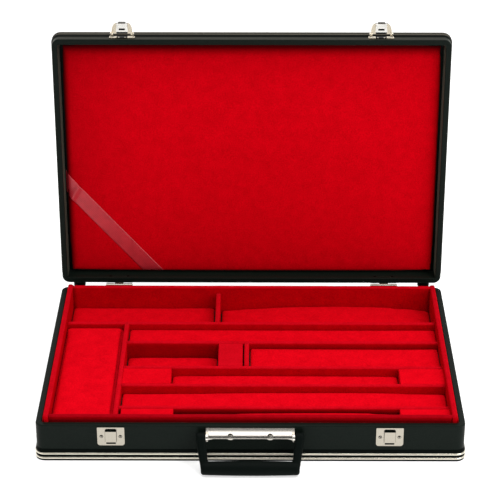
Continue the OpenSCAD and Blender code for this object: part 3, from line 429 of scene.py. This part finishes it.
# Velvet-covered boards: wood wrapped in velvet, so their edges are soft and never quite straight
boards = {
    "cut": 7.0,      # mm between the cuts along a board
    "wander": 0.22,  # mm, how far a face wanders
    "waves": 26.0,   # mm, length of one wave
    "draw": 1,       # seed of the waves, so that every run draws the same
    "firm": 12.0,    # mm over a board's foot, where it begins to wander fully
    "pile": 0.25,    # mm, the nap stands out over the board
    "corner": 14.0,  # mm, as far in as the lip's rounded corners reach
    "sharp": 50,     # degrees, edges that bend more look sharp
    "level": 0.5,    # faces that look up more than this are tops
    "rim": 1.5,      # mm under a board's top, where its shade begins
    "fade": 5.0,     # mm, over which the lip's shade deepens
    "roll": 2.5,     # how many times faster that painted shade begins below a board's top inside the tray
    "outer": 3.0,    # mm, the depth within which a face of the lip is its outer one
    "shade": 0.8,    # how dark the painted shade at the foot of the lip is
    "faceShade": {        # painted shade: how dark each listed board is made below its top
        "liner_front": 0.46, "liner_left": 0.12, "liner_right": 0.15,
        "row_divider_1": 0.7, "row_divider_4": 0.36},
    "raised": ["row3_blocks", "row1_blocks"],  # where it stands up on top, as on the floors
    "names": ["liner_front", "liner_back", "liner_left", "liner_right", "side_divider", "row_divider_1",
              "row_divider_2", "row_divider_3", "row_divider_4", "row_divider_5", "back_divider",
              "trough_divider", "box_block", "row3_blocks", "row1_blocks", "accessory_ledges"],
}


def velvetBoardPiece(nodeName):
    bm = copyOf(nodeName)
    mergeFlat(bm)
    for axis in range(3):
        cutAcross(bm, axis, boards["cut"] * mm)
    shift = Vector((sum(map(ord, nodeName)) % 17, 3, 5))  # each board has waves of its own
    low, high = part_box(nodeName)
    # The lip's outer faces stay where they are, since the lid's walls pass them as it shuts
    ends = [(1, low.y, max), (1, high.y, min)]
    walls = {"liner_front": ends[:1], "liner_back": ends[1:], "liner_left": ends + [(0, low.x, max)],
             "liner_right": ends + [(0, high.x, min)]}.get(nodeName, [])
    for v in bm.verts:
        start = v.co.copy()
        wave = noise.noise_vector(start / (boards["waves"] * mm) + shift)
        loose = share((start.z - low.z) / (boards["firm"] * mm))
        v.co += wave * boards["wander"] * mm * loose + v.normal * boards["pile"] * mm
        for axis, wall, inward in walls:
            if abs(start[axis] - wall) < boards["corner"] * mm:
                v.co[axis] = inward(v.co[axis], start[axis])
    bm.normal_update()
    top = 2 if nodeName in boards["raised"] else 0
    # Tops get the lit velvet; all other faces get the darker copy, which is painted shade
    for face in bm.faces:
        face.material_index = top if abs(face.normal.z) >= boards["level"] else 1
    looks = [velvetBoard, velvetSidesShaded, velvetFloor]
    piece = makePiece(nodeName + "_velvet", bm, nodeName, looks, sharp=boards["sharp"])
    # Painted shade: below the lip's edge the outer face is darkened as the rim's shade, and the listed boards
    # are darkened below their tops
    outside = {
        "liner_front": lambda p: p.y - low.y,
        "liner_left": lambda p: p.x - low.x,
        "liner_right": lambda p: high.x - p.x,
    }.get(nodeName)
    paintedShade = piece.data.attributes.new("paintedShade", "FLOAT", "POINT")
    for v in piece.data.vertices:
        below = (high.z - boards["rim"] * mm - v.co.z) / (boards["fade"] * mm)
        shadeLevel = boards["faceShade"].get(nodeName, 0)
        if outside is None:
            shadeLevel *= share(below * boards["roll"])
        elif outside(v.co) < boards["outer"] * mm:
            shadeLevel = max(shadeLevel, boards["shade"] * share(below))
        paintedShade.data[v.index].value = shadeLevel


noise.seed_set(boards["draw"])
for nodeName in boards["names"]:
    velvetBoardPiece(nodeName)
print("stage: velvet boards made")

# Pads: foam under velvet, swollen by a cloth simulation between the boards that hold them
padding = {
    "floors": ["pad_back_left", "pad_back_right", "pad_row5", "pad_box", "pad_trough", "pad_row3", "pad_row2",
               "pad_row1", "pad_accessory"],
    "voxel": 3.0,     # mm, the quads of a pad
    "cloth": {
        "quality": 4, "mass": 0.2, "use_pressure": True, "uniform_pressure_force": 4.0,
        "tension_stiffness": 12, "compression_stiffness": 12, "shear_stiffness": 4, "bending_stiffness": 0.4},
    "frames": 20,
    "swell": 1.1,     # mm, the most that a point may move
    "proud": 0.8,     # mm, the most that a pad may stand out of its solid
    "fill": 0.75,     # how full of foam it is
    "pressed": 7.0,   # mm from a side, as far as a pad is pressed out to it
    "tight": 0.7,     # mm, how far the floors are pressed out
    "lidTight": 2.6,  # mm, the same for the accessory compartment's lid
}
# The lid's lining: drawn tight over its panel, with painted shade where it rolls down behind the walls and a
# wide painted shade from its left and front sides
lining = {
    "cell": 4.0,     # mm, its even cells
    "rows": [0, 0.4, 1.0, 1.8, 2.8, 4.0, 5.4, 7.0, 9.0, 11.5],  # mm from a side, its finer rows
    "border": 15.0,  # mm from a side, where the even cells begin
    "inset": 0.05,   # mm, by which it is laid inside the sides of its solid
    "thin": 0.3,     # mm, its least thickness
    "seam": 18.0,    # mm from a side, within which its swelling is held back less
    "edgeShade": 0.9,    # how dark the painted shade at its edge is
    "steep": 1.6,    # how soon it gets dark towards a side
    "curve": 1.3,    # how late the last of the dark fades
    "shadeReach": {"left": 12.0, "right": 6.5, "front": 20.0, "hinge": 6.5},  # mm, how far the edge's painted shade reaches from each side
    "drawn": {"left": (110.0, 0.22), "front": (90.0, 0.14)},  # mm and depth of a wide painted shade from the left and front sides
}
probe = 20 * mm  # as far in front of the lining as its surface is looked for from
hinge = Matrix.Translation(joints["lid_hinge"]["pos_m"])
openDegrees = -joints["lid_hinge"]["range_deg"][0]
shutToOpen = hinge @ Matrix.Rotation(math.radians(-openDegrees), 4, "X") @ hinge.inverted()
openToShut = shutToOpen.inverted()
liningShut = [openToShut @ v.co for v in nodes["lid_lining"].data.vertices]
liningLow = [min(p[i] for p in liningShut) for i in range(3)]
liningHigh = [max(p[i] for p in liningShut) for i in range(3)]


def applyModifiers(obj):
    bpy.context.view_layer.update()
    graph = bpy.context.evaluated_depsgraph_get()
    finished = obj.evaluated_get(graph)
    made = bpy.data.meshes.new_from_object(finished, preserve_all_data_layers=True, depsgraph=graph)
    obj.modifiers.clear()
    old = obj.data
    obj.data = made
    bpy.data.meshes.remove(old)


def evenCopy(nodeName, name, voxel):
    # A copy of a solid in even quads
    made = meshObject(name, copyOf(nodeName))
    modifier = made.modifiers.new("even mesh", "REMESH")
    modifier.mode = "VOXEL"
    modifier.voxel_size = voxel * mm
    applyModifiers(made)
    return made


def liningPlaces(axis):
    # Where the lining's rows lie along an axis of the shut lid
    first, last = liningLow[axis] + lining["inset"] * mm, liningHigh[axis] - lining["inset"] * mm
    middle = last - first - 2 * lining["border"] * mm
    count = round(middle / (lining["cell"] * mm))
    cells = [first + lining["border"] * mm + middle * k / count for k in range(count + 1)]
    near = [row * mm for row in lining["rows"]]
    return [first + row for row in near] + cells + [last - row for row in reversed(near)]


def startLining():
    # The lining as a grid laid over its solid in the shut frame, and closed behind. Its faces are made
    # in a fixed order, since the swelling of the cloth depends on it
    solid = nodes["lid_lining"].data
    tree = BVHTree.FromPolygons(liningShut, [polygon.vertices[:] for polygon in solid.polygons])
    panel = liningHigh[2]
    across, along = liningPlaces(0), liningPlaces(1)
    bm = bmesh.new()
    front, back = [], []
    for x in across:
        frontRow, backRow = [], []
        for y in along:
            hit = tree.ray_cast(Vector((x, y, liningLow[2] - probe)), Vector((0, 0, 1)))[0]
            height = min(panel if hit is None else hit.z, panel - lining["thin"] * mm)
            frontRow.append(bm.verts.new(shutToOpen @ Vector((x, y, height))))
            backRow.append(bm.verts.new(shutToOpen @ Vector((x, y, panel))))
        front.append(frontRow)
        back.append(backRow)
    last, end = len(across) - 1, len(along) - 1
    for i in range(last):
        for j in range(end):
            bm.faces.new((front[i][j], front[i][j + 1], front[i + 1][j + 1], front[i + 1][j]))
            bm.faces.new((back[i][j], back[i + 1][j], back[i + 1][j + 1], back[i][j + 1]))
    for i in range(last):
        for j in (0, end):
            bm.faces.new((front[i][j], front[i + 1][j], back[i + 1][j], back[i][j]))
    for j in range(end):
        for i in (0, last):
            bm.faces.new((front[i][j], front[i][j + 1], back[i][j + 1], back[i][j]))
    bmesh.ops.recalc_face_normals(bm, faces=bm.faces)
    return meshObject("lid_lining_pad", bm)


def fromSides(point):
    # How far a point of the lining lies from each of its sides
    p = openToShut @ point
    return {"left": p.x - liningLow[0], "right": liningHigh[0] - p.x,
            "front": p.y - liningLow[1], "hinge": liningHigh[1] - p.y}


def paintEdgeShade(pad):
    # Painted shade: the velvet is darkened where it rolls down behind the walls, and more gently across its
    # left and front parts
    paintedShade = pad.data.attributes.new("paintedShade", "FLOAT", "POINT")
    for v in pad.data.vertices:
        away = {side: distance / mm for side, distance in fromSides(v.co).items()}
        nearest = min(away[side] / reach for side, reach in lining["shadeReach"].items())
        edgeShaded = lining["edgeShade"] * share(lining["steep"] * (1 - nearest)) ** lining["curve"]
        flat = sum(depth * max(0, 1 - away[side] / wide) for side, (wide, depth) in lining["drawn"].items())
        paintedShade.data[v.index].value = min(1, edgeShaded + flat * (1 - edgeShaded))


def swellPads(pads):
    # One run of the cloth simulation for all the pads together
    starts = {}
    for pad in pads:
        starts[pad.name] = [v.co.copy() for v in pad.data.vertices]
        cloth = pad.modifiers.new("stuffing", "CLOTH")
        for key, value in padding["cloth"].items():
            setattr(cloth.settings, key, value)
        cloth.settings.effector_weights.gravity = 0
        cloth.collision_settings.use_collision = False
        cloth.point_cache.frame_start = 1
        cloth.point_cache.frame_end = padding["frames"]
    for frameNumber in range(1, padding["frames"] + 1):
        scene.frame_set(frameNumber)
    limit = padding["swell"] * mm
    for pad in pads:
        applyModifiers(pad)
        held = 1
        for v, start in zip(pad.data.vertices, starts[pad.name]):
            move = v.co - start
            if pad.name == "lid_lining_pad":
                held = share(min(fromSides(start).values()) / (lining["seam"] * mm))
            if move.length * held > limit:
                v.co = start + move * (limit / move.length)
    scene.frame_set(1)


def holdIn(pad, low, high, toLocal=Matrix.Identity(4), fromLocal=Matrix.Identity(4)):
    # Keeps a pad between the boards that hold it; low and high are in the frame that toLocal leads to
    for v in pad.data.vertices:
        p = toLocal @ v.co
        v.co = fromLocal @ Vector([min(high[i], max(low[i], p[i])) for i in range(3)])


def pressOut(mesh, low, high, by):
    # Spreads what lies near the four sides by so many mm, so that the piece fills its place
    for v in mesh.vertices:
        for axis in (0, 1):
            for wall, outward in ((low[axis], -1), (high[axis], 1)):
                away = abs(v.co[axis] - wall) / (padding["pressed"] * mm)
                v.co[axis] += outward * by * mm * max(0, 1 - away)


def finishPad(pad, nodeName, look):
    mesh = pad.data
    mesh.materials.clear()
    mesh.materials.append(look)
    for polygon in mesh.polygons:
        polygon.use_smooth = True
    smooth = pad.modifiers.new("velvet over foam", "SUBSURF")
    smooth.levels = smooth.render_levels = 1
    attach(pad, bodyOf[nodeName])
    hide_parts(nodeName)


proud = Vector((0, 0, padding["proud"] * mm))
flatPads = padding["floors"] + ["accessory_lid_pad"]
pads = {name: evenCopy(name, name + "_pad", padding["voxel"]) for name in flatPads}
pads["lid_lining"] = startLining()
swellPads(list(pads.values()))
paintEdgeShade(pads["lid_lining"])
for name in flatPads:
    low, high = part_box(name)
    holdIn(pads[name], low, high + proud)
    pressOut(pads[name].data, low, high, padding["lidTight" if name == "accessory_lid_pad" else "tight"])
    finishPad(pads[name], name, velvetFloor)
holdIn(pads["lid_lining"], Vector(liningLow) - proud, liningHigh, openToShut, shutToOpen)
finishPad(pads["lid_lining"], "lid_lining", velvetLid)
print("stage: pads swollen")

# Satin ribbon across the lid's corner: both ends are tucked down behind the padding
ribbon = {
    "width": 21.0,   # mm
    "thick": 0.22,   # mm
    "up": 136.0,     # mm from the corner to its middle, along the left side
    "along": 121.0,  # mm from the corner to its middle, along the hinge side
    "lift": 0.25,    # mm over the velvet
    "tuck": 5.0,     # mm down behind the padding
    "inset": 1.2,    # mm from the walls, where it turns down
    "sunk": 0.5,     # mm, its ends stay in front of the lid's panel by this
    "cellsAcross": 14,
    "cellsAlong": 130,
    "pucker": 2.4,   # mm, height of the crease by its left end
    "creaseAt": 0.115,    # of the ribbon's length
    "creaseSlant": 0.02,
    "creaseWide": 0.022,
    "creaseFade": 0.25,   # how much lower it is towards one edge
}


def ribbonPiece():
    # Local frame: the shut lid seen from its inside, x right, y towards the hinges, height towards the tray
    look = ribbon
    width = look["width"] * mm
    inset = look["inset"] * mm
    graph = bpy.context.evaluated_depsgraph_get()
    tree = BVHTree.FromObject(pads["lid_lining"].evaluated_get(graph), graph)
    low, high = liningLow, liningHigh
    start = Vector((low[0], high[1] - look["up"] * mm))
    stop = Vector((low[0] + look["along"] * mm, high[1]))
    ahead = (stop - start).normalized()
    across = Vector((-ahead.y, ahead.x))
    reach = (stop - start).length
    extra = width / 2 + look["tuck"] * mm
    length = reach + 2 * extra
    downOpen = (shutToOpen.to_3x3() @ Vector((0, 0, 1))).normalized()

    def surface(x, y):
        # Height of the padding over a point of the shut lid, or of the panel where there is none
        hit = tree.ray_cast(shutToOpen @ Vector((x, y, low[2] - probe)), downOpen)[0]
        return high[2] if hit is None else (openToShut @ hit).z

    bm = bmesh.new()
    bmesh.ops.create_grid(bm, x_segments=look["cellsAlong"], y_segments=look["cellsAcross"], size=0.5)
    uv = bm.loops.layers.uv.new("ribbon")
    for face in bm.faces:
        for loop in face.loops:
            at = loop.vert.co
            loop[uv].uv = (at.y * width + width / 2, (at.x + 0.5) * length)
    for v in bm.verts:
        t, s = v.co.x + 0.5, v.co.y * 2  # along it from 0 to 1, across it from -1 to 1
        run = t * length - extra
        p = start + ahead * run + across * (s * width / 2)
        x = max(p.x, low[0] + inset)
        y = min(p.y, high[1] - inset)
        past = max(0, (low[0] + inset - p.x) / abs(ahead.x)) + max(0, (p.y - high[1] + inset) / abs(ahead.y))
        # A fold runs across the ribbon where it goes over the left edge
        fromCrease = run / reach - look["creaseAt"] - look["creaseSlant"] * s
        fold = look["pucker"] * mm * math.exp(-(fromCrease / look["creaseWide"]) ** 2)
        z = surface(x, y) - look["lift"] * mm - fold * (1 + look["creaseFade"] * (s - 1))
        v.co = shutToOpen @ Vector((x, y, min(z + past, high[2] - look["sunk"] * mm)))
    bmesh.ops.recalc_face_normals(bm, faces=bm.faces)
    piece = makePiece("ribbon_satin", bm, "ribbon", [ribbonSatin], sharp=0)
    thick = piece.modifiers.new("cloth thickness", "SOLIDIFY")
    thick.thickness = look["thick"] * mm
    thick.offset = 0


ribbonPiece()
print("stage: ribbon laid")

# Vinyl-covered box, its extruded trim and beads, the packing, the accessory lid's board and the rear feet
box = {
    "panelEdge": 0.4,    # mm
    "packingEdge": 0.4,  # mm
    "boardEdge": 0.6,    # mm
    "footEdge": 0.5,     # mm
    "frontDeep": 0.3,    # mm, as deep as the lid's front face gets the painted sheen
    "beadUnder": -0.3,   # a bead's faces that look down more than this get painted shade
}
bandFront = min((openToShut @ v.co).y for v in nodes["lid_band"].data.vertices)


def paintLidBand(face):
    # Painted sheen: the lid's front wall, which stands uppermost when the case is open, gets the lighter
    # vinyl
    return 1 if (openToShut @ face.calc_center_median()).y < bandFront + box["frontDeep"] * mm else 0


def paintBeads(face):
    # Painted shade on the faces that look down
    return 1 if face.normal.z < box["beadUnder"] else 0


dress("base_band", [blackVinyl])
dress("lid_band", [blackVinyl, paintedSheenVinyl], paint=paintLidBand)
for nodeName in ("base_panel", "lid_panel"):
    dress(nodeName, [blackVinyl], edge=box["panelEdge"])
for nodeName in ("base_trim", "lid_trim"):
    dress(nodeName, [trimPlastic])
dress("base_beads", [beadMetal, beadShaded], paint=paintBeads)
# Painted shade: the lid's beads are all the dark bead copy
dress("lid_beads", [beadShaded])
dress("packing_blocks", [packingWood], edge=box["packingEdge"])
accessoryBoard = dress("accessory_lid_board", [velvetBoard], edge=box["boardEdge"])
pressOut(accessoryBoard.data, *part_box("accessory_lid_board"), padding["lidTight"])
for nodeName in ("rear_feet_base", "rear_feet_lid"):
    dress(nodeName, [footPlastic], edge=box["footEdge"], segments=3)

# Handle: one moulding, so its arms run into the grip with soft hollows
handle = {"voxel": 0.9, "smoothing": 2}


def handlePiece():
    piece = evenCopy("handle", "handle_moulded", handle["voxel"])
    bm = bmesh.new()
    bm.from_mesh(piece.data)
    for _ in range(handle["smoothing"]):
        bmesh.ops.smooth_vert(bm, verts=bm.verts, factor=0.5, use_axis_x=True, use_axis_y=True,
                              use_axis_z=True)
    bm.to_mesh(piece.data)
    bm.free()
    for polygon in piece.data.polygons:
        polygon.use_smooth = True
    piece.data.materials.clear()
    piece.data.materials.append(handlePlastic)
    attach(piece, bodyOf["handle"])
    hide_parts("handle")


handlePiece()

# Pressed and plated fittings
fittings = {
    "catchEdge": 0.22,    # mm
    "bracketEdge": 0.3,   # mm
    "hingeEdge": 0.25,    # mm
    "pinEdge": 0.2,       # mm
    "pierced": 9.0,       # mm, half the width of a catch within which its cut edges get painted shade
    "level": 0.5,         # faces that look to the front less than this are cut edges
}


def paintCatch(middle):
    # Painted shade: the pierced edges beside and inside the raised strap are black
    def paint(face):
        beside = abs(face.calc_center_median().x - middle)
        return 1 if abs(face.normal.y) < fittings["level"] and beside < fittings["pierced"] * mm else 0
    return paint


for nodeName in ("catch_plate_left", "catch_plate_right"):
    low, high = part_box(nodeName)
    paint = paintCatch((low.x + high.x) / 2)
    dress(nodeName, [nickelCatch, shadeBlack], edge=fittings["catchEdge"], paint=paint)
dress("handle_bracket", [nickelBracket], edge=fittings["bracketEdge"])
for nodeName in ("hinge_leaves_base", "hinge_leaves_lid"):
    dress(nodeName, [nickel], edge=fittings["hingeEdge"])

# Hasps: pressed, with a painted highlight on the tongue, painted shade in black in the hollow by the pivot
# and on the plate's middle, and painted shade on the turned hook
hasps = {
    "edge": 0.22,        # mm
    "hollow": 7.2,       # mm, half the width of the black painted shade in the hollow
    "spare": 0.1,        # mm, by which the black reaches past it
    "shadeFrom": -1.1,  # mm, the depths between which the painted shade lies
    "shadeTo": 0.2,     # mm
    "shadeEnd": 13.0,   # mm from the pin
    "hook": 13.9,        # mm from the pin, beyond which the turned hook gets painted shade
    "tongue": 8.0,       # mm, half the width of the painted highlight on the tongue
    "facing": 0.7,       # faces that look to the tongue's side more than this get the painted highlight
}


def haspPieces(side):
    pivotJoint = joints["hasp_" + side + "_pivot"]
    pivot = Vector(pivotJoint["pos_m"])
    half = hasps["hollow"] * mm
    turned = math.radians(openDegrees - pivotJoint["range_deg"][0])
    toHasp = Matrix.Rotation(turned, 4, "X") @ Matrix.Translation(-pivot)

    def paintHasp(face):
        # In the hasp's own frame, as it lies when the case is shut
        at = toHasp @ face.calc_center_median() / mm
        inward = (toHasp.to_3x3() @ face.normal).y
        inShade = hasps["shadeFrom"] < at.y < hasps["shadeTo"] and at.z > -hasps["shadeEnd"]
        if inShade and abs(at.x) < hasps["hollow"] + hasps["spare"]:
            return 1
        if at.z < -hasps["hook"]:
            return 3
        return 2 if inward > hasps["facing"] and abs(at.x) < hasps["tongue"] else 0

    def paintPlate(face):
        # Painted shade: the plate's middle, under the hasp, is black
        return 1 if abs(face.calc_center_median().x - pivot.x) < half else 0

    cuts = (pivot.x - half, pivot.x + half)
    haspLooks = [nickelPressed, shadeBlack, nickelPaintedHighlight, beadShaded]
    dress("hasp_" + side, haspLooks, edge=hasps["edge"], cuts=cuts, paint=paintHasp)
    plateLooks = [nickelPressed, shadeBlack]
    dress("hasp_plate_" + side, plateLooks, edge=hasps["edge"], cuts=cuts, paint=paintPlate)


for side in ("left", "right"):
    haspPieces(side)
for nodeName in ("handle_pins", "hinge_pins", "hasp_pins"):
    dress(nodeName, [steelPin], edge=fittings["pinEdge"])
for nodeName in ("hasp_screws", "hinge_rivets_base"):
    dress(nodeName, [nickel])
# Painted shade: the lid's rivets are black, so that they show no reflection
dress("hinge_rivets_lid", [shadeBlack])

# Cross-recessed screws of the catches and the bracket: the recess is cut into each head and lined with black
# as painted shade
screws = {
    "catch_screws": {
        "plates": ("catch_plate_left", "catch_plate_right"),
        "apart": 23.0,  # mm between the two screws of a plate
        "arm": 2.2,     # mm, length of a bar of the cross
        "rim": -0.88,   # faces of a head that look forwards more than this are bright
    },
    "handle_screws": {"plates": ("handle_bracket",), "apart": 48.0, "arm": 4.0, "rim": -0.86},
    "turns": (25, 115),  # degrees, the two bars of a cross
    "armWidth": 0.6,     # mm
    "deep": 0.6,         # mm
}


def recessCutter(nodeName):
    settings = screws[nodeName]
    low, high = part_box(nodeName)
    size = Vector((settings["arm"], 2 * screws["deep"], screws["armWidth"])) * mm
    bm = bmesh.new()
    for plate in settings["plates"]:
        plateLow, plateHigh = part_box(plate)
        for beside in (-settings["apart"] / 2 * mm, settings["apart"] / 2 * mm):
            place = Vector(((plateLow.x + plateHigh.x) / 2 + beside, low.y, (low.z + high.z) / 2))
            for turn in screws["turns"]:
                bar = bmesh.ops.create_cube(bm, size=1)["verts"]
                bmesh.ops.scale(bm, vec=size, verts=bar)
                bmesh.ops.rotate(bm, matrix=Matrix.Rotation(math.radians(turn), 3, "Y"), verts=bar)
                bmesh.ops.translate(bm, vec=place, verts=bar)
    cutter = meshObject("recess", bm)
    # Painted shade: the recess takes this black
    cutter.data.materials.append(shadeBlack)
    return cutter


def screwPiece(nodeName):
    cutter = recessCutter(nodeName)
    heads = copyOf(nodeName)
    heads.normal_update()
    # Painted shade: the head's turned edge is black
    for face in heads.faces:
        face.material_index = 0 if face.normal.y < screws[nodeName]["rim"] else 1
    piece = makePiece(nodeName + "_dressed", heads, nodeName, [nickel, shadeBlack], even=True)
    cut = piece.modifiers.new("cross recess", "BOOLEAN")
    cut.operation = "DIFFERENCE"
    cut.object = cutter
    cut.solver = "EXACT"
    cut.use_self = True
    cut.material_mode = "TRANSFER"
    applyModifiers(piece)
    bpy.data.objects.remove(cutter)


for nodeName in ("catch_screws", "handle_screws"):
    screwPiece(nodeName)
print("stage: fittings dressed")


# Plain pale floor: matt white paint that glows a little, so that it fades into the background
def studioFloor():
    material = newMaterial("matt white floor", {
        "Base Color": grey(0.86), "Roughness": 0.9, "Specular IOR Level": 0.1, "Emission Color": grey(1.0),
        "Emission Strength": studio["floorGlow"]})[0]
    bm = bmesh.new()
    bmesh.ops.create_grid(bm, x_segments=2, y_segments=2, size=studio["floorSize"] / 2)
    floor = meshObject("floor", bm)
    floor.location.z = -studio["floorDrop"] * mm
    floor.data.materials.append(material)


def studioAir():
    world = bpy.data.worlds.new("studio air")
    scene.world = world
    world.use_nodes = True
    sky = studio["sky"]
    direction = addNode(world, "TexCoord").outputs["Generated"]
    axes = addNode(world, "SeparateXYZ", None, {"Vector": direction})
    towards = addNode(world, "MapRange", {"From Min": -1.0, "From Max": 1.0}, {"Value": axes.outputs["Y"]})
    glow = addNode(world, "ValToRGB", {
        "ramp": [(0.15, grey(sky["front"])), (0.85, grey(sky["back"])), (0.5, grey(sky["side"]))]},
                   {"Fac": towards.outputs["Result"]})
    world.node_tree.links.new(glow.outputs["Color"], world.node_tree.nodes["Background"].inputs["Color"])


studioFloor()
studioAir()
